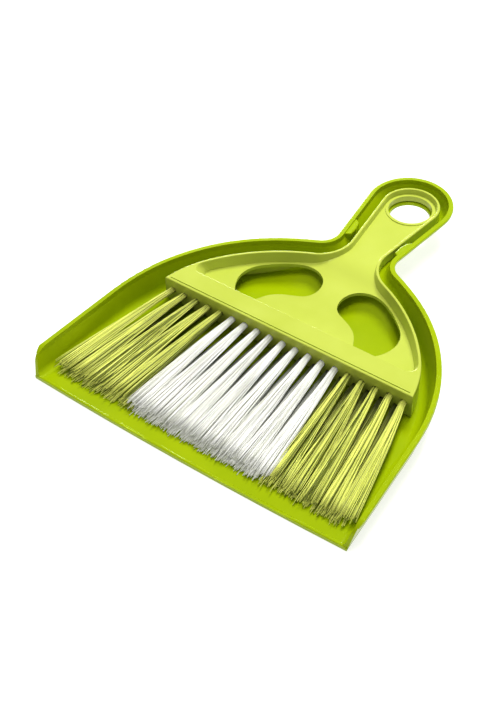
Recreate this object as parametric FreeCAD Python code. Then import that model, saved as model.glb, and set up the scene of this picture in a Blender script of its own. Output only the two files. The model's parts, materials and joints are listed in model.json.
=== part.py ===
import FreeCAD, Part
import math
import os
from FreeCAD import Placement, Rotation, Vector

# Dustpan with a long-bristled brush stored in it, in millimetres.
# X runs across the lip, Y from the lip to the handle's end, Z up. The shapes are drawn with Y = 0 at
# the lip's corners, and export() moves them all so that the origin is the middle of the footprint, on
# the floor.

# ---- plan outlines: a straight side, two shoulder arcs, a hollow neck and a tapered handle with a round end ----
# Angles are in degrees. heading is the side's lean from +Y, turn is where the second shoulder arc takes over.
RIM = dict(side_x=113.4, side_y=0.0, heading=4.4, shoulder_y=72.5, shoulder_r=125.5, turn=59.0,
           back_r=211.0, neck_r=12.2, taper=7.1, end_r=28.3, end_y=242.4)
RIDGE = dict(side_x=87.4, side_y=102.6, heading=12.9, shoulder_y=102.6, shoulder_r=73.0, turn=35.3,
             back_r=124.0, neck_r=23.2, taper=7.0, end_r=19.2, end_y=243.7)
HALF_SPAN = 130.0            # side profiles are extruded from -HALF_SPAN to HALF_SPAN

# ---- dustpan ----
RIM_Z = 17.3                 # height of the rim plane at the lip line
RIM_TILT = 1.375             # degrees that the rim plane rises towards the handle
RIM_BEAD_H = 3.2             # depth of the thickened rim
RIM_BEAD_UNDER_R = 1.7       # its outer lower edge's rounding
RIM_BEAD_START_Y = (6.0, 14.0)  # the thickened rim tapers in over this stretch, behind the lip corners
RIM_INNER = 3.0              # inset of the wall's inner face at the rim
WALL_OUTER = 1.8             # inset of the wall's outer face under the rim bead
WALL_OUTER_SLOPE = 0.2       # inset gained per millimetre of depth, below the bead
WALL_INNER_SLOPE = 0.25
CHANNEL_SLOPE = 0.4          # further inset of the handle's sides, per millimetre of depth
WALL_DEPTH = 20.0            # the walls are drawn this deep, then trimmed by the floor
FLOOR_T = 1.8
CHANNEL_Z = 11.0             # underside of the handle channel
FLOOR_RAMP = (150.0, 184.0)  # where the floor climbs to the channel
FOOT_FILLET = 5.0            # between the floor and the walls
LIP_BOW = 2.0                # how far the lip's middle stands in front of its corners
LIP_HALF = 110.0
LIP_BEAD_W = 2.2
LIP_BEAD_H = 0.8
HOLE_Y = 243.7
PAN_HOLE_R = 13.0
HOLE_EDGE_R = 0.5
NUB_Y = (196.0, 211.0)
NUB_REACH = 3.6              # how far a guide nub stands out of the channel's wall
NUB_H = 6.0

# ---- brush ----
RIDGE_Z = 17.8               # height of the ridge plane, carried forward to the lip line
RIDGE_TILT = 0.69
RIDGE_LAND = 1.7             # width of the ridge's top
RECESS_BASE = 3.5            # inset of the recess where it meets the sunk panel
RECESS_DEPTH = 7.0           # in the head
HANDLE_RECESS_DEPTH = 3.5    # in the handle
PANEL_RAMP = (158.0, 182.0)  # where the panel climbs to the handle
PANEL_T = 2.2
SKIRT_T = 2.2
FRONT_Y = 98.3
BAND_BACK_Y = 113.6          # back edge of the front band, at the ridge plane
BLOCK_BACK_Y = 116.8
BRUSH_BOTTOM_Z = 2.5
HANDLE_BOTTOM_Z = 13.6
BOTTOM_RAMP = (146.0, 180.0)
RECESS_CORNER_R = 6.0
BRUSH_HOLE_R = 14.3
HOLE_COLLAR_T = 1.8
GROOVE_Y = (99.8, 100.6)
GROOVE_DEPTH = 0.6
WINDOW_FRONT_Y = 117.6
# Right-hand window, from its outer front lobe round the back and along its hollow side.
WINDOW = [(47.0, 116.0), (54.3, 125.3), (56.2, 132.5), (54.0, 142.8), (46.0, 151.7), (35.0, 159.6),
          (22.5, 163.3), (12.5, 159.6), (8.1, 149.5), (10.8, 140.3), (20.5, 134.6), (30.0, 128.4),
          (34.5, 121.5), (38.5, 116.0)]

# ---- bristles ----
TOP_TUFTS = 19
LOW_TUFTS = 18
TUFT_PITCH = 9.17
TUFT_R = 1.95
TUFT_HOLE_R = 2.0
HOLE_DEPTH = 9.0
TOP_ROW_Z = 11.4
LOW_ROW_Z = 5.2
TOP_TIP = (14.0, 5.9)        # y and z of a tuft's tip
LOW_TIP = (11.0, 3.3)
TIP_SPREAD = 1.2             # how far the tips fan out, times the tuft's own X
TIP_HALF_W = 5.3
TIP_HALF_H = 0.9
ANCHOR = (5.2, 1.8, 0.5)     # flat wire anchor: across, into the block, thick


def trace(o):
    """Centres and tangent points of an outline's right half."""
    h, t, b = (math.radians(o[k]) for k in ("heading", "turn", "taper"))
    shoulder = Vector(o["side_x"] - (o["shoulder_y"] - o["side_y"]) * math.tan(h), o["shoulder_y"], 0)
    side_in = Vector(-math.cos(h), -math.sin(h), 0)
    c1 = shoulder + side_in * o["shoulder_r"]
    turn_out = Vector(math.cos(t), math.sin(t), 0)
    c2 = c1 + turn_out * (o["shoulder_r"] - o["back_r"])
    end = Vector(0, o["end_y"], 0)
    side_out = Vector(math.cos(b), -math.sin(b), 0)
    along = Vector(math.sin(b), math.cos(b), 0)
    start = end + side_out * (o["end_r"] + o["neck_r"]) - c2
    reach = o["back_r"] + o["neck_r"]
    back = start.dot(along)
    step = back - math.sqrt(back * back - start.dot(start) + reach * reach)
    neck = start - along * (step if step > 0 else 2 * back - step)
    return dict(shoulder=shoulder, side_in=side_in, c1=c1, turn_out=turn_out, c2=c2, neck=neck + c2,
                neck_out=neck.normalize(), end=end, side_out=side_out)


def line(a, b):
    return Part.LineSegment(a, b).toShape()


def arc(centre, radius, a, b):
    """The shorter arc from a to b."""
    middle = (a - centre) + (b - centre)
    return Part.Arc(a, centre + middle.normalize() * radius, b).toShape()


def outline(o, inset, front_y, z=0.0, waist=0.0):
    """Closed symmetric wire, inset from the outline, with a straight front at front_y.

    The waist narrows only the handle, a fifth as much at its end as at its sides."""
    o = dict(o, end_r=o["end_r"] - waist, end_y=o["end_y"] + 0.8 * waist)
    g = trace(o)
    r1, r2 = o["shoulder_r"] - inset, o["back_r"] - inset
    rn, re = o["neck_r"] + inset, o["end_r"] - inset
    p1 = g["shoulder"] + g["side_in"] * inset
    p2 = g["c1"] + g["turn_out"] * r1
    p3 = g["c2"] + g["neck_out"] * r2
    p4 = g["neck"] - g["side_out"] * rn
    p5 = g["end"] + g["side_out"] * re
    tip = g["end"] + Vector(0, re, 0)
    if front_y < p1.y:
        lean = math.tan(math.radians(o["heading"]))
        front = Vector(p1.x + (p1.y - front_y) * lean, front_y, 0)
        right = [line(front, p1), arc(g["c1"], r1, p1, p2)]
    else:
        front = Vector(g["c1"].x + math.sqrt(r1 ** 2 - (front_y - g["c1"].y) ** 2), front_y, 0)
        right = [arc(g["c1"], r1, front, p2)]
    right += [arc(g["c2"], r2, p2, p3), arc(g["neck"], rn, p3, p4), line(p4, p5)]
    left = [e.mirror(Vector(0, 0, 0), Vector(1, 0, 0)) for e in right]
    round_end = Part.Arc(p5, tip, Vector(-p5.x, p5.y, 0)).toShape()
    front_line = line(Vector(-front.x, front_y, 0), front)
    wire = Part.Wire(Part.__sortEdges__(right + [round_end] + left + [front_line]))
    wire.translate(Vector(0, 0, z))
    return wire


def prism(wire, height):
    return Part.Face(wire).extrude(Vector(0, 0, height))


def tapered(o, stations):
    """Solid through (inset, front_y, z, waist) stations, with straight sides between them."""
    return Part.makeLoft([outline(o, *s) for s in stations], True, True)


def tilted(shape, degrees, z):
    """From a plane's own frame to the part's, where that plane rises towards +Y."""
    moved = shape.copy()
    moved.Placement = Placement(Vector(0, 0, z), Rotation(Vector(1, 0, 0), degrees)).multiply(moved.Placement)
    return moved


def yz(y, z):
    """Point of a side profile."""
    return Vector(-HALF_SPAN, y, z)


def side_prism(edges):
    return Part.Face(Part.Wire(edges)).extrude(Vector(2 * HALF_SPAN, 0, 0))


def yz_slab(low_z, high_z, ramp, limit_z):
    """Everything between limit_z and a line that climbs from low_z to high_z over the ramp.

    The climb is two equal arcs, tangent to each other and to the level lines."""
    y0, y1 = ramp
    rise = high_z - low_z
    radius = ((y1 - y0) ** 2 + rise ** 2) / (4 * rise)
    half_turn = math.asin((y1 - y0) / 2 / radius) / 2
    across, up = radius * math.sin(half_turn), radius * (1 - math.cos(half_turn))
    middle = yz((y0 + y1) / 2, (low_z + high_z) / 2)
    near, far = -60.0, 300.0
    return side_prism([line(yz(near, low_z), yz(y0, low_z)),
                       Part.Arc(yz(y0, low_z), yz(y0 + across, low_z + up), middle).toShape(),
                       Part.Arc(middle, yz(y1 - across, high_z - up), yz(y1, high_z)).toShape(),
                       line(yz(y1, high_z), yz(far, high_z)),
                       line(yz(far, high_z), yz(far, limit_z)),
                       line(yz(far, limit_z), yz(near, limit_z)),
                       line(yz(near, limit_z), yz(near, low_z))])


def rim_height(y):
    return RIM_Z + y * math.tan(math.radians(RIM_TILT))


def wall_inset(depth):
    """Inset of the pan wall's inner face at a depth below the rim plane."""
    return RIM_INNER + 0.5 + WALL_INNER_SLOPE * (depth - RIM_BEAD_H)


def filleted(shape, radius, chosen):
    """Rounds the edges that chosen(edge) picks."""
    return shape.makeFillet(radius, [e for e in shape.Edges if chosen(e)])


def in_plane(z, tolerance=0.01):
    """Picks the edges that lie flat at height z."""
    return lambda e: max(abs(e.BoundBox.ZMin - z), abs(e.BoundBox.ZMax - z)) < tolerance


def pan_hollow(front):
    """The space inside the walls and above the floor, rounded where they meet."""
    waist = CHANNEL_SLOPE * (WALL_DEPTH - RIM_BEAD_H)
    walls = tapered(RIM, [(wall_inset(WALL_DEPTH), front, -WALL_DEPTH, waist),
                          (wall_inset(RIM_BEAD_H), front, -RIM_BEAD_H), (RIM_INNER, front, 2.0)])
    ramp = (FLOOR_RAMP[0] - 1.5, FLOOR_RAMP[1] - 1.5)
    channel_top = CHANNEL_Z + FLOOR_T
    space = tilted(walls, RIM_TILT, RIM_Z).common(yz_slab(FLOOR_T, channel_top, ramp, 60.0))
    return filleted(space, FOOT_FILLET,
                    lambda e: e.BoundBox.ZMax < channel_top + 0.1 and e.BoundBox.YLength > 0.1)


def pan_shell():
    """The pan's floor, walls and rim bead, still square at the front."""
    front = -15.0
    below = WALL_DEPTH - RIM_BEAD_H
    outside = tapered(RIM, [(WALL_OUTER + WALL_OUTER_SLOPE * below, front, -WALL_DEPTH, CHANNEL_SLOPE * below),
                            (WALL_OUTER, front, -RIM_BEAD_H)])
    front_wall = prism(outline(RIM, WALL_OUTER, front, -RIM_BEAD_H), RIM_BEAD_H)
    body = tilted(outside.fuse([front_wall, rim_bead(front)]), RIM_TILT, RIM_Z)
    body = body.common(yz_slab(0.0, CHANNEL_Z, FLOOR_RAMP, 60.0))
    nubs = [side.common(body) for side in (nub(1), nub(-1))]
    return body.cut(pan_hollow(front)).fuse(nubs).removeSplitter()


def rim_bead(front):
    """The rim's rounded edge, in the rim's own frame, tapering in behind the lip corners."""
    bead = prism(outline(RIM, 0.0, front, -RIM_BEAD_H), RIM_BEAD_H)
    bead = filleted(bead, 0.9, in_plane(0.0))
    bead = filleted(bead, RIM_BEAD_UNDER_R, in_plane(-RIM_BEAD_H))
    near, far = RIM_BEAD_START_Y
    slant = (far - near) / WALL_OUTER
    half = RIM["side_x"]
    plan = [Vector(x, y, -10) for x, y in (
        (-half + WALL_OUTER, near), (half - WALL_OUTER, near), (half + 10, far + 10 * slant), (half + 20, far),
        (half + 20, front - 5), (-half - 20, front - 5), (-half - 20, far), (-half - 10, far + 10 * slant))]
    return bead.cut(prism(Part.makePolygon(plan + [plan[0]]), 20.0))


def front_trim():
    """What lies in front of the wall's round front ends and of the bowed lip."""
    foot, knee, brow = yz(0.5, FLOOR_T), yz(3.0, 10.0), yz(5.9, 14.6)
    top = yz(13.5, rim_height(13.5))
    above, beyond, below = yz(13.5, 40), yz(-30, 40), yz(-30, FLOOR_T)
    walls = side_prism([line(foot, knee), Part.Arc(knee, brow, top).toShape(), line(top, above),
                        line(above, beyond), line(beyond, below), line(below, foot)])
    lip = Part.makeBox(2 * HALF_SPAN, 40, FLOOR_T + 2, Vector(-HALF_SPAN, -30, -2))
    return walls.fuse(lip.cut(lip_disc(-5.0, 20.0)))


def lip_radius():
    return (LIP_HALF ** 2 + LIP_BOW ** 2) / (2 * LIP_BOW)


def lip_disc(z, height):
    """Huge disc whose edge is the lip's bowed front line."""
    radius = lip_radius()
    return Part.makeCylinder(radius, height, Vector(0, radius - LIP_BOW, z))


def lip_bead():
    """Low half-round bead along the lip's front edge."""
    radius = lip_radius()
    front, back = -LIP_BOW, LIP_BEAD_W - LIP_BOW
    base = FLOOR_T - 0.3
    front_top = Vector(0, front, FLOOR_T + LIP_BEAD_H / 2)
    crest = Vector(0, (front + back) / 2, FLOOR_T + LIP_BEAD_H)
    back_top = Vector(0, back, FLOOR_T + LIP_BEAD_H / 4)
    section = Part.Wire([line(Vector(0, front, base), front_top), Part.Arc(front_top, crest, back_top).toShape(),
                         line(back_top, Vector(0, back, base)), line(Vector(0, back, base), Vector(0, front, base))])
    face = Part.Face(section)
    centre = Vector(0, radius - LIP_BOW, 0)
    sweep = math.degrees(math.asin((LIP_HALF - 2.0) / radius))
    face.rotate(centre, Vector(0, 0, 1), -sweep)
    return face.revolve(centre, Vector(0, 0, 1), 2 * sweep)


def hole_edge(radius, z):
    """Picks a hanging hole's round edge at height z."""
    return lambda e: in_plane(z)(e) and abs(e.BoundBox.XLength - 2 * radius) < 0.1


def nub(side):
    """Guide nub on the channel wall, which stops the stored brush from rocking."""
    y0, y1 = NUB_Y
    middle = (y0 + y1) / 2
    b = math.radians(RIM["taper"])
    wall_x = RIM["end_r"] / math.cos(b) - (RIM["end_y"] - middle) * math.tan(b) - RIM_INNER - 0.8
    lean = (y1 - middle) * math.tan(b)
    plan = [Vector(wall_x + 1.5 - lean, y0 - 1.5, 0), Vector(wall_x - NUB_REACH + 0.8 - lean, y0 + 1.2, 0),
            Vector(wall_x - NUB_REACH, middle, 0), Vector(wall_x - NUB_REACH + 0.8 + lean, y1 - 1.2, 0),
            Vector(wall_x + 1.5 + lean, y1 + 1.5, 0)]
    top = rim_height(middle) - 1.0
    solid = prism(Part.makePolygon(plan + [plan[0]]), NUB_H)
    solid.translate(Vector(0, 0, top - NUB_H))
    solid = filleted(solid, 0.9, lambda e: e.BoundBox.ZMin > top - 0.01 or e.BoundBox.ZLength > NUB_H / 2)
    return solid if side > 0 else solid.mirror(Vector(0, 0, 0), Vector(1, 0, 0))


def dustpan():
    pan = pan_shell().cut(Part.makeCylinder(PAN_HOLE_R, 30, Vector(0, HOLE_Y, 0)))
    pan = filleted(pan, HOLE_EDGE_R, hole_edge(PAN_HOLE_R, CHANNEL_Z + FLOOR_T))
    pan = pan.cut(front_trim())
    return pan.fuse(lip_bead()).removeSplitter()


def recess():
    """The sunk panel's space, sloping in from the ridge, with round front corners."""
    space = tapered(RIDGE, [(RECESS_BASE, BLOCK_BACK_Y, -RECESS_DEPTH), (RIDGE_LAND, BAND_BACK_Y, 0.0)])
    space = filleted(space, RECESS_CORNER_R,
                     lambda e: e.BoundBox.ZLength > 1 and e.BoundBox.YMax < BLOCK_BACK_Y + 0.1)
    lift = prism(outline(RIDGE, RIDGE_LAND, BAND_BACK_Y + 5, 0.0), 3.0)
    return space.fuse(lift).common(yz_slab(-RECESS_DEPTH, -HANDLE_RECESS_DEPTH, PANEL_RAMP, 5.0))


def windows():
    """Two bean-shaped windows through the panel, one each side."""
    curve = Part.BSplineCurve()
    curve.interpolate([Vector(x, y, 0) for x, y in WINDOW], PeriodicFlag=True)
    bean = Part.Face(Part.Wire(curve.toShape())).extrude(Vector(0, 0, 30))
    bean = bean.cut(Part.makeBox(100, 50, 40, Vector(0, WINDOW_FRONT_Y - 50, -5)))
    return [bean, bean.mirror(Vector(0, 0, 0), Vector(1, 0, 0))]


def tuft_places(count):
    first = -(count - 1) / 2
    return [(first + i) * TUFT_PITCH for i in range(count)]


def tuft_rows():
    """(name, x positions, height of the holes, tip) of each row."""
    return [("top", tuft_places(TOP_TUFTS), TOP_ROW_Z, TOP_TIP),
            ("low", tuft_places(LOW_TUFTS), LOW_ROW_Z, LOW_TIP)]


def anchor(x, z):
    across, into, thick = ANCHOR
    return Part.makeBox(across, into, thick,
                        Vector(x - across / 2, FRONT_Y + HOLE_DEPTH - into - 0.3, z - thick / 2))


def brush_body():
    plan = outline(RIDGE, 0.0, FRONT_Y, -20.0)
    body = filleted(prism(plan, 20.0), 0.7, in_plane(0.0))
    body = body.cut(recess())
    body = filleted(body, 0.5, lambda e: in_plane(0.0)(e) and e.BoundBox.YMin > BAND_BACK_Y - 0.5)
    under = prism(outline(RIDGE, SKIRT_T, BLOCK_BACK_Y + SKIRT_T, -25.0), 25.0)
    panel_under = (-RECESS_DEPTH - PANEL_T, -HANDLE_RECESS_DEPTH - PANEL_T)
    under = under.common(yz_slab(*panel_under, PANEL_RAMP, -30.0))
    body = tilted(body.cut(under), RIDGE_TILT, RIDGE_Z)
    body = body.common(yz_slab(BRUSH_BOTTOM_Z, HANDLE_BOTTOM_Z, BOTTOM_RAMP, 60.0))
    collar = Part.makeCylinder(BRUSH_HOLE_R + HOLE_COLLAR_T, 4.0, Vector(0, HOLE_Y, HANDLE_BOTTOM_Z))
    body = body.fuse(collar).cut(windows() + [Part.makeCylinder(BRUSH_HOLE_R, 30, Vector(0, HOLE_Y, 5))])
    groove = Part.makeBox(2 * RIDGE["side_x"] - 4, GROOVE_Y[1] - GROOVE_Y[0], 5,
                          Vector(2 - RIDGE["side_x"], GROOVE_Y[0], ridge_height(GROOVE_Y[0]) - GROOVE_DEPTH))
    holes = [Part.makeCylinder(TUFT_HOLE_R, HOLE_DEPTH + 1, Vector(x, FRONT_Y - 1, z), Vector(0, 1, 0))
             for _, places, z, _ in tuft_rows() for x in places]
    anchors = [anchor(x, z) for _, places, z, _ in tuft_rows() for x in places]
    return body.cut([groove] + holes + anchors).removeSplitter()


def ridge_height(y):
    return RIDGE_Z + y * math.tan(math.radians(RIDGE_TILT))


def ellipse(x, y, z, half_w, half_h):
    """Wire in an XZ plane, the same number of points whatever its proportions."""
    ring = Part.Circle(Vector(0, 0, 0), Vector(0, 1, 0), 1.0).toNurbs().toShape()
    scale = FreeCAD.Matrix(half_w, 0, 0, x, 0, 1, 0, y, 0, 0, half_h, z, 0, 0, 0, 1)
    return Part.Wire(ring.transformGeometry(scale))


def tuft(x, z, tip):
    """A bundle of bristles folded over its anchor, straight out of the block and then fanned down to the floor."""
    tip_y, tip_z = tip
    inner_y = FRONT_Y + HOLE_DEPTH - 0.1
    stations = [(x, inner_y, z, TUFT_R, TUFT_R), (x, FRONT_Y - 2.5, z, TUFT_R, TUFT_R)]
    for t in (0.35, 1.0):
        y = FRONT_Y - 2.5 + t * (tip_y - FRONT_Y + 2.5)
        stations.append((x * (1 + t * (TIP_SPREAD - 1)), y, z + t * (tip_z - z),
                         TUFT_R + t * (TIP_HALF_W - TUFT_R), TUFT_R + t * (TIP_HALF_H - TUFT_R)))
    solid = Part.makeLoft([ellipse(*s) for s in stations], True, True)
    return solid.cut(anchor(x, z))


def export(node, shape):
    length_front, length_back = -LIP_BOW, RIM["end_y"] + RIM["end_r"]
    moved = shape.copy()
    moved.translate(Vector(0, -(length_front + length_back) / 2, 0))
    moved.exportStep("parts/" + node + ".step")
    box = moved.optimalBoundingBox()
    print(node, len(moved.Solids), moved.isValid(), round(moved.Volume / 1000, 2), "cm3",
          [round(v, 1) for v in (box.XMin, box.XMax, box.YMin, box.YMax, box.ZMin, box.ZMax)])


os.makedirs("parts", exist_ok=True)
export("dustpan", dustpan())
export("brush_body", brush_body())
for row, places, height, tip_place in tuft_rows():
    for number, place in enumerate(places, start=1):
        export("tuft_%s_%02d" % (row, number), tuft(place, height, tip_place))
    export("anchors_" + row, Part.makeCompound([anchor(place, height) for place in places]))
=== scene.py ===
"""Looks of the dustpan and brush: two moulded plastics, and every tuft built strand by strand."""

import json
import math
import random

import bpy
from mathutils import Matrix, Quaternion, Vector


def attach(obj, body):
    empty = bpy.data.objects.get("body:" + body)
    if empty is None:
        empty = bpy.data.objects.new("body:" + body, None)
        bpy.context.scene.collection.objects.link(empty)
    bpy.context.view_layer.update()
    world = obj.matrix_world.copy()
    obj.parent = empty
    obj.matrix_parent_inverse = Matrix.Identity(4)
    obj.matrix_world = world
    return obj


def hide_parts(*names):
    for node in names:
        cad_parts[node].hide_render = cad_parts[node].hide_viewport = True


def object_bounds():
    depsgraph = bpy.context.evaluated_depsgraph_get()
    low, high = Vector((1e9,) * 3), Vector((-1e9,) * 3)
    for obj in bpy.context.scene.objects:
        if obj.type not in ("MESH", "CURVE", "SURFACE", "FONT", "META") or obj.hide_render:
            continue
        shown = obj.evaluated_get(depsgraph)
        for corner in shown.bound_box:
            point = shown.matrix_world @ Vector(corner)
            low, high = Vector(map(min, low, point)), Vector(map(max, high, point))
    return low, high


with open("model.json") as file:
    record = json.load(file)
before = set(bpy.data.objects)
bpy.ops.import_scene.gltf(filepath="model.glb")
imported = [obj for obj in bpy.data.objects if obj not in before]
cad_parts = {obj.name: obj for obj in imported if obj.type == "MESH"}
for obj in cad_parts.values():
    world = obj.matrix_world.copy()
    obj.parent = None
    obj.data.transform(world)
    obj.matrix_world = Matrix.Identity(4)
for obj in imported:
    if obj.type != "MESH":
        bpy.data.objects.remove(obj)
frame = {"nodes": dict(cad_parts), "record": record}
cad_low, cad_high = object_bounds()

MM = 0.001

# ---- colours, linear ----
PAN_GREEN = (0.305, 0.405, 0.001, 1)
PAN_GREEN_DEEP = (0.265, 0.365, 0.001, 1)
BRUSH_GREEN = (0.465, 0.535, 0.070, 1)
BRUSH_GREEN_DEEP = (0.425, 0.495, 0.055, 1)
# each strand finish runs from its dark to its light colour: the darkest strands are painted shade, and the
# rest differ in tone at random
GREEN_STRAND = (0.940, 0.985, 0.190, 1)
GREEN_STRAND_DARK = (0.090, 0.125, 0.002, 1)
WHITE_STRAND = (0.950, 0.950, 0.910, 1)
WHITE_STRAND_DARK = (0.780, 0.790, 0.680, 1)
# painted shadow that the strands blend into near the block
DEEP_SHADOW = (0.020, 0.030, 0.001, 1)
PAN_SHEEN = (0.80, 1.00, 0.12, 1)
BRUSH_SHEEN = (0.92, 1.00, 0.40, 1)
ANCHOR_STEEL = (0.560, 0.550, 0.520, 1)
ANCHOR_STEEL_DULL = (0.380, 0.375, 0.360, 1)

# ---- surfaces ----
MOULDING_ROUGHNESS = (0.15, 0.26)    # smoothest and roughest patches
STRAND_ROUGHNESS = (0.32, 0.5)
WIRE_ROUGHNESS = (0.25, 0.5)
GRAIN_STRENGTH, GRAIN_DEPTH = 0.12, 0.05 * MM
PLASTIC_IOR = 1.49
NOISE_MIDDLE, NOISE_BODY = (0.35, 0.65), (0.3, 0.7)   # stretches of noise that are spread over a range
SHADED_STRETCH = (-0.7, 0.25)        # of strand_along, where a strand passes from painted shadow into its own colour
DEEPEST_SHADE = 0.95

# ---- tufts ----
STRAND_SIDES = 5
STRAND_STATIONS = 11
BUNDLE_R = 1.75 * MM           # centres of the outermost strands, at the block
CLUMPS = 15                    # strands lean together in this many clumps
# of each finish: strands in a tuft, their radius, and how strongly they lean into their clumps
STRANDS = {"green_bristle": {"count": 66, "radius": 0.235 * MM, "clumping": (0.55, 0.98)},
           "white_bristle": {"count": 96, "radius": 0.24 * MM, "clumping": (0.15, 0.60)}}
RADIUS_RANGE = (0.85, 1.1)     # thinnest and thickest strand, of that radius
TIP_TAPER = 0.8                # radius at the very tip, of the strand's own
END_BAND = 0.3 * MM            # depth of the bands where the CAD tuft's two ends are measured
START_FORWARD = 3 * MM         # strands start this far in front of the CAD tuft's end in the block
TIP_SPREAD_X = 1.15            # reach of the outermost tips, of the CAD tuft's half width
TIP_SPREAD_Z = 1.4             # and of its half height
TIP_SCATTER_X = 0.08           # uneven spread of the tips, of their reach
TIP_SCATTER_Y = 1.5 * MM       # uneven length
TIP_SCATTER_Z = 0.25 * MM
TIP_ROUNDING = 0.6 * MM        # strands at the tuft's sides end this much shorter
LEAN_POWER = 0.85              # below 1, so that strands spread most just out of their hole
SWAY = 0.35 * MM               # usual size of the wave along a strand
SWAY_TURNS = 5.5               # radians of that wave from the block to the tip
SWAY_HEIGHT = 0.6              # the wave's height, of its width
SWAY_PHASES = (0, 6.28)        # radians
STRAYS = 0.03                  # share of strands that stand clear of their tuft
STRAY_REACH = (1.3, 1.9)       # and how far, of their usual place
PAINTED_SHADOW_SHARE = 0.28              # share of strands painted dark as shade, for the gaps between strands
PAINTED_SHADOW_SHADES = (0.0, 0.25)
BRIGHT_SHADES = (0.6, 1.0)
HOLE_DEPTH = 8.9 * MM          # the CAD tuft's length inside the block
FLOOR_GAP = 2.1 * MM           # lowest that a strand's centre may lie, just over the pan's floor
ALONG_UPPER, ALONG_LOWER = 0.0, -1.0   # where strand_along starts in each row; the lower row starts deeper in the painted shadow
GOLDEN_ANGLE = math.pi * (3 - math.sqrt(5))

# ---- studio ----
FLOOR_REACH = 60               # metres each way, so that its edge lies far behind the part
FLOOR_DROP = 0.2 * MM          # below the part's lowest point
FLOOR_GREY, FLOOR_GLOW, FLOOR_ROUGHNESS = 0.5, 0.75, 0.6
WORLD_STRENGTH = 0.38

# ---- camera, in front of the lip and to its right, looking down ----
CAMERA_AT = (0.3095, -0.4861, 0.5413)                                     # metres
CAMERA_AZIMUTH, CAMERA_ELEVATION, CAMERA_ROLL = 36.565, 44.80, -0.958     # degrees
CAMERA_LENS, CAMERA_SENSOR = 64.6, 36                                     # millimetres


def shader_of(name):
    """A new material with its node tree and its Principled shader."""
    material = bpy.data.materials.new(name)
    material.use_nodes = True
    return material, material.node_tree, material.node_tree.nodes["Principled BSDF"]


def noise(tree, vector, scale, detail, roughness=0.5):
    node = tree.nodes.new("ShaderNodeTexNoise")
    node.inputs["Scale"].default_value = scale
    node.inputs["Detail"].default_value = detail
    node.inputs["Roughness"].default_value = roughness
    tree.links.new(vector, node.inputs["Vector"])
    return node.outputs["Fac"]


def span(tree, value, taken_from, taken_to):
    """value taken from one range to another, each a low and a high, and held at the ends."""
    node = tree.nodes.new("ShaderNodeMapRange")
    for socket, number in zip(("From Min", "From Max", "To Min", "To Max"), taken_from + taken_to):
        node.inputs[socket].default_value = number
    tree.links.new(value, node.inputs["Value"])
    return node.outputs["Result"]


def blend_colour(tree, fraction, a, b):
    node = tree.nodes.new("ShaderNodeMix")
    node.data_type = "RGBA"
    tree.links.new(fraction, node.inputs["Factor"])
    for socket, colour in ((node.inputs["A"], a), (node.inputs["B"], b)):
        if isinstance(colour, bpy.types.NodeSocket):
            tree.links.new(colour, socket)
        else:
            socket.default_value = colour
    return node.outputs["Result"]


def moulded_plastic(name, light, deep, sheen):
    """Injection-moulded plastic: faint clouds of colour, a fine spark-eroded grain and uneven gloss."""
    material, tree, shader = shader_of(name)
    place = tree.nodes.new("ShaderNodeTexCoord").outputs["Object"]
    clouds = span(tree, noise(tree, place, scale=26, detail=3), NOISE_MIDDLE, (0, 1))
    tree.links.new(blend_colour(tree, clouds, deep, light), shader.inputs["Base Color"])
    smears = noise(tree, place, scale=60, detail=4, roughness=0.6)
    tree.links.new(span(tree, smears, NOISE_BODY, MOULDING_ROUGHNESS), shader.inputs["Roughness"])
    bump = tree.nodes.new("ShaderNodeBump")
    bump.inputs["Strength"].default_value = GRAIN_STRENGTH
    bump.inputs["Distance"].default_value = GRAIN_DEPTH
    tree.links.new(noise(tree, place, scale=2600, detail=2), bump.inputs["Height"])
    tree.links.new(bump.outputs["Normal"], shader.inputs["Normal"])
    shader.inputs["IOR"].default_value = PLASTIC_IOR
    shader.inputs["Specular IOR Level"].default_value = 0.5
    shader.inputs["Specular Tint"].default_value = sheen
    return material


def strand_plastic(name, light, dark):
    """Drawn filament: each strand has its own shade, and is painted darker back along it into the block, as
    shade.

    strand_along runs from 0 to 1 at the tip in the upper row, and from -1 in the lower row, which is painted
    as more shaded."""
    material, tree, shader = shader_of(name)
    shade = tree.nodes.new("ShaderNodeAttribute")
    shade.attribute_name = "strand_shade"
    along = tree.nodes.new("ShaderNodeAttribute")
    along.attribute_name = "strand_along"
    own = blend_colour(tree, shade.outputs["Fac"], dark, light)
    # painted shade: strands blend towards DEEP_SHADOW near and inside the block, and the lower row further
    # along its length
    depth = span(tree, along.outputs["Fac"], SHADED_STRETCH, (DEEPEST_SHADE, 0.0))
    tree.links.new(blend_colour(tree, depth, own, DEEP_SHADOW), shader.inputs["Base Color"])
    place = tree.nodes.new("ShaderNodeTexCoord").outputs["Object"]
    wear = noise(tree, place, scale=400, detail=2)
    tree.links.new(span(tree, wear, NOISE_BODY, STRAND_ROUGHNESS), shader.inputs["Roughness"])
    return material


def drawn_wire(name, bright, dull):
    """Flattened steel wire: fine drawing lines along its length and dull patches."""
    material, tree, shader = shader_of(name)
    place = tree.nodes.new("ShaderNodeTexCoord").outputs["Object"]
    patches = span(tree, noise(tree, place, scale=900, detail=3), NOISE_MIDDLE, (0, 1))
    tree.links.new(blend_colour(tree, patches, dull, bright), shader.inputs["Base Color"])
    stretch = tree.nodes.new("ShaderNodeMapping")
    stretch.inputs["Scale"].default_value = (1, 40, 40)
    tree.links.new(place, stretch.inputs["Vector"])
    lines = noise(tree, stretch.outputs["Vector"], scale=300, detail=2)
    tree.links.new(span(tree, lines, NOISE_BODY, WIRE_ROUGHNESS), shader.inputs["Roughness"])
    shader.inputs["Metallic"].default_value = 1.0
    return material


def ring_centre(vertices):
    return sum(vertices, Vector()) / len(vertices)


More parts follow.
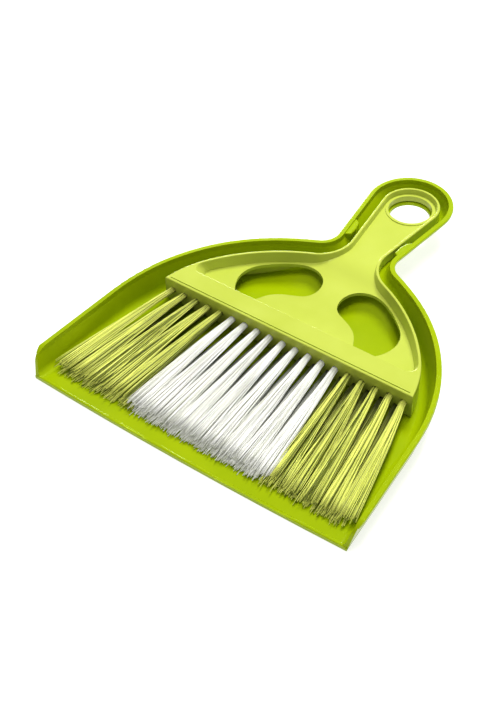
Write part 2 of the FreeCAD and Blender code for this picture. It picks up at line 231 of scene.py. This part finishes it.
def tuft_ends(node):
    """Middle of the tuft's end in the block, middle of its tips, and the tips' half width and half height."""
    points = [v.co for v in node.data.vertices]
    back, front = max(p.y for p in points), min(p.y for p in points)
    root = ring_centre([p for p in points if p.y > back - END_BAND])
    tips = [p for p in points if p.y < front + END_BAND]
    half_width = (max(p.x for p in tips) - min(p.x for p in tips)) / 2
    half_height = (max(p.z for p in tips) - min(p.z for p in tips)) / 2
    return root, ring_centre(tips), half_width, half_height


def strand_path(start, exit_y, end, wave, phase):
    """Points from inside the block to the tip: straight across in the hole, then leaning towards the tip."""
    points = []
    for i in range(STRAND_STATIONS):
        t = i / (STRAND_STATIONS - 1)
        y = start.y + (end.y - start.y) * t
        out = max(0.0, (exit_y - y) / (exit_y - end.y))
        lean = out ** LEAN_POWER
        sway = wave * math.sin(math.pi * out) * math.sin(phase + SWAY_TURNS * out)
        x = start.x + (end.x - start.x) * lean + sway
        z = start.z + (end.z - start.z) * out + SWAY_HEIGHT * sway
        points.append(Vector((x, y, max(z, FLOOR_GAP))))
    return points


class StrandMesh:
    """Collects strands as thin tubes in one mesh."""

    def __init__(self):
        self.vertices, self.faces, self.shade, self.along = [], [], [], []

    def add(self, path, radius, shade, along_start):
        first = len(self.vertices)
        last = len(path) - 1
        for i, point in enumerate(path):
            r = radius * (TIP_TAPER if i == last else 1.0)
            for k in range(STRAND_SIDES):
                turn = 2 * math.pi * k / STRAND_SIDES
                self.vertices.append(point + Vector((r * math.cos(turn), 0, r * math.sin(turn))))
                self.shade.append(shade)
                self.along.append(along_start + (1 - along_start) * i / last)
        for i in range(last):
            for k in range(STRAND_SIDES):
                a = first + i * STRAND_SIDES + k
                b = first + i * STRAND_SIDES + (k + 1) % STRAND_SIDES
                self.faces.append((a, b, b + STRAND_SIDES, a + STRAND_SIDES))
        self.faces.append(tuple(range(first + STRAND_SIDES - 1, first - 1, -1)))
        end = first + last * STRAND_SIDES
        self.faces.append(tuple(range(end, end + STRAND_SIDES)))

    def build(self, name, material):
        mesh = bpy.data.meshes.new(name)
        mesh.from_pydata(self.vertices, [], self.faces)
        mesh.polygons.foreach_set("use_smooth", [True] * len(mesh.polygons))
        for label, values in (("strand_shade", self.shade), ("strand_along", self.along)):
            mesh.attributes.new(label, "FLOAT", "POINT").data.foreach_set("value", values)
        mesh.materials.append(material)
        obj = bpy.data.objects.new(name, mesh)
        bpy.context.scene.collection.objects.link(obj)
        return obj


def tuft_strands(node, kind, along_start, rng):
    """All the strands of one tuft, packed round in the block and fanned out at the tips."""
    root, tip, half_width, half_height = tuft_ends(node)
    exit_y = root.y - HOLE_DEPTH
    count = kind["count"]
    clumps = [(rng.uniform(-1, 1), rng.uniform(-1, 1)) for _ in range(CLUMPS)]
    made = StrandMesh()
    for i in range(count):
        r = math.sqrt((i + 0.5) / count)
        turn = i * GOLDEN_ANGLE
        u, v = r * math.cos(turn), r * math.sin(turn)
        start = root + Vector((BUNDLE_R * u, -START_FORWARD, BUNDLE_R * v))
        near = min(clumps, key=lambda c: (c[0] - u) ** 2 + (c[1] - v) ** 2)
        pull = rng.uniform(*kind["clumping"])
        across = u + (near[0] - u) * pull + rng.gauss(0, TIP_SCATTER_X)
        if rng.random() < STRAYS:
            across *= rng.uniform(*STRAY_REACH)
        end = Vector((tip.x + TIP_SPREAD_X * half_width * across,
                      tip.y + rng.gauss(0, TIP_SCATTER_Y) + TIP_ROUNDING * abs(across),
                      tip.z + TIP_SPREAD_Z * half_height * v + rng.gauss(0, TIP_SCATTER_Z)))
        path = strand_path(start, exit_y, end, rng.gauss(0, SWAY), rng.uniform(*SWAY_PHASES))
        # a share of strands is painted dark as the shade between strands; the others differ in tone at random
        shades = PAINTED_SHADOW_SHADES if rng.random() < PAINTED_SHADOW_SHARE else BRIGHT_SHADES
        shade = rng.uniform(*shades)
        made.add(path, kind["radius"] * rng.uniform(*RADIUS_RANGE), shade, along_start)
    return made


def softbox(name, place, size, energy, lights_surfaces=True, in_reflections=True):
    """Square lamp that faces the middle of the part: place and size in metres, energy in watts."""
    data = bpy.data.lights.new(name, "AREA")
    data.shape = "SQUARE"
    data.size = size
    data.energy = energy
    lamp = bpy.data.objects.new(name, data)
    lamp.location = place
    lamp.rotation_mode = "QUATERNION"
    lamp.rotation_quaternion = ((cad_low + cad_high) / 2 - Vector(place)).to_track_quat("-Z", "Y")
    lamp.visible_diffuse = lights_surfaces
    lamp.visible_glossy = in_reflections
    bpy.context.scene.collection.objects.link(lamp)


# ---- moulded parts and anchors ----
pan_plastic = moulded_plastic("pan_plastic_deep_lime", PAN_GREEN, PAN_GREEN_DEEP, PAN_SHEEN)
brush_plastic = moulded_plastic("brush_plastic_light_lime", BRUSH_GREEN, BRUSH_GREEN_DEEP, BRUSH_SHEEN)
frame["nodes"]["dustpan"].material_slots[0].material = pan_plastic
frame["nodes"]["brush_body"].material_slots[0].material = brush_plastic
anchor_wire = drawn_wire("anchor_wire_steel", ANCHOR_STEEL, ANCHOR_STEEL_DULL)
for node in ("anchors_top", "anchors_low"):
    frame["nodes"][node].material_slots[0].material = anchor_wire

# ---- tufts ----
strand_materials = {"green_bristle": strand_plastic("green_filament", GREEN_STRAND, GREEN_STRAND_DARK),
                    "white_bristle": strand_plastic("white_filament", WHITE_STRAND, WHITE_STRAND_DARK)}
for seed, part in enumerate(frame["record"]["subparts"]):
    node, finish = part["node"], part["material_slot"]
    if finish in strand_materials:
        along_start = ALONG_LOWER if node.startswith("tuft_low") else ALONG_UPPER
        strands = tuft_strands(frame["nodes"][node], STRANDS[finish], along_start, random.Random(seed))
        tuft = strands.build(node.replace("tuft", "bristles"), strand_materials[finish])
        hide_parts(node)
        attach(tuft, "brush")

# ---- floor, light and camera ----
floor_mesh = bpy.data.meshes.new("floor")
corners = [(x * FLOOR_REACH, y * FLOOR_REACH, 0) for x, y in ((-1, -1), (1, -1), (1, 1), (-1, 1))]
floor_mesh.from_pydata(corners, [], [(0, 1, 2, 3)])
floor_paint, _, floor_shader = shader_of("floor_paint")
floor_shader.inputs["Base Color"].default_value = (FLOOR_GREY, FLOOR_GREY, FLOOR_GREY, 1)
floor_shader.inputs["Roughness"].default_value = FLOOR_ROUGHNESS
floor_shader.inputs["Emission Color"].default_value = (1, 1, 1, 1)
floor_shader.inputs["Emission Strength"].default_value = FLOOR_GLOW
floor_mesh.materials.append(floor_paint)
floor = bpy.data.objects.new("floor", floor_mesh)
floor.location.z = cad_low.z - FLOOR_DROP
bpy.context.scene.collection.objects.link(floor)

world = bpy.data.worlds.new("studio")
world.use_nodes = True
world.node_tree.nodes["Background"].inputs["Color"].default_value = (1, 1, 1, 1)
world.node_tree.nodes["Background"].inputs["Strength"].default_value = WORLD_STRENGTH
bpy.context.scene.world = world

softbox("key", place=(-0.12, 0.72, 1.05), size=0.36, energy=15.5, in_reflections=False)
softbox("overhead", place=(0.05, 0.1, 1.3), size=0.45, energy=9)
softbox("edge", place=(-0.9, 1.1, 0.42), size=0.6, energy=16, lights_surfaces=False)

camera_data = bpy.data.cameras.new("camera")
camera_data.lens = CAMERA_LENS
camera_data.sensor_width = CAMERA_SENSOR
camera = bpy.data.objects.new("camera", camera_data)
turn, rise = math.radians(CAMERA_AZIMUTH), math.radians(CAMERA_ELEVATION)
forward = Vector((-math.sin(turn) * math.cos(rise), math.cos(turn) * math.cos(rise), -math.sin(rise)))
camera.location = CAMERA_AT
camera.rotation_mode = "QUATERNION"
camera.rotation_quaternion = (forward.to_track_quat("-Z", "Y")
                              @ Quaternion((0, 0, 1), math.radians(CAMERA_ROLL)))
bpy.context.scene.collection.objects.link(camera)
bpy.context.scene.camera = camera
bpy.context.scene.view_settings.view_transform = "Standard"
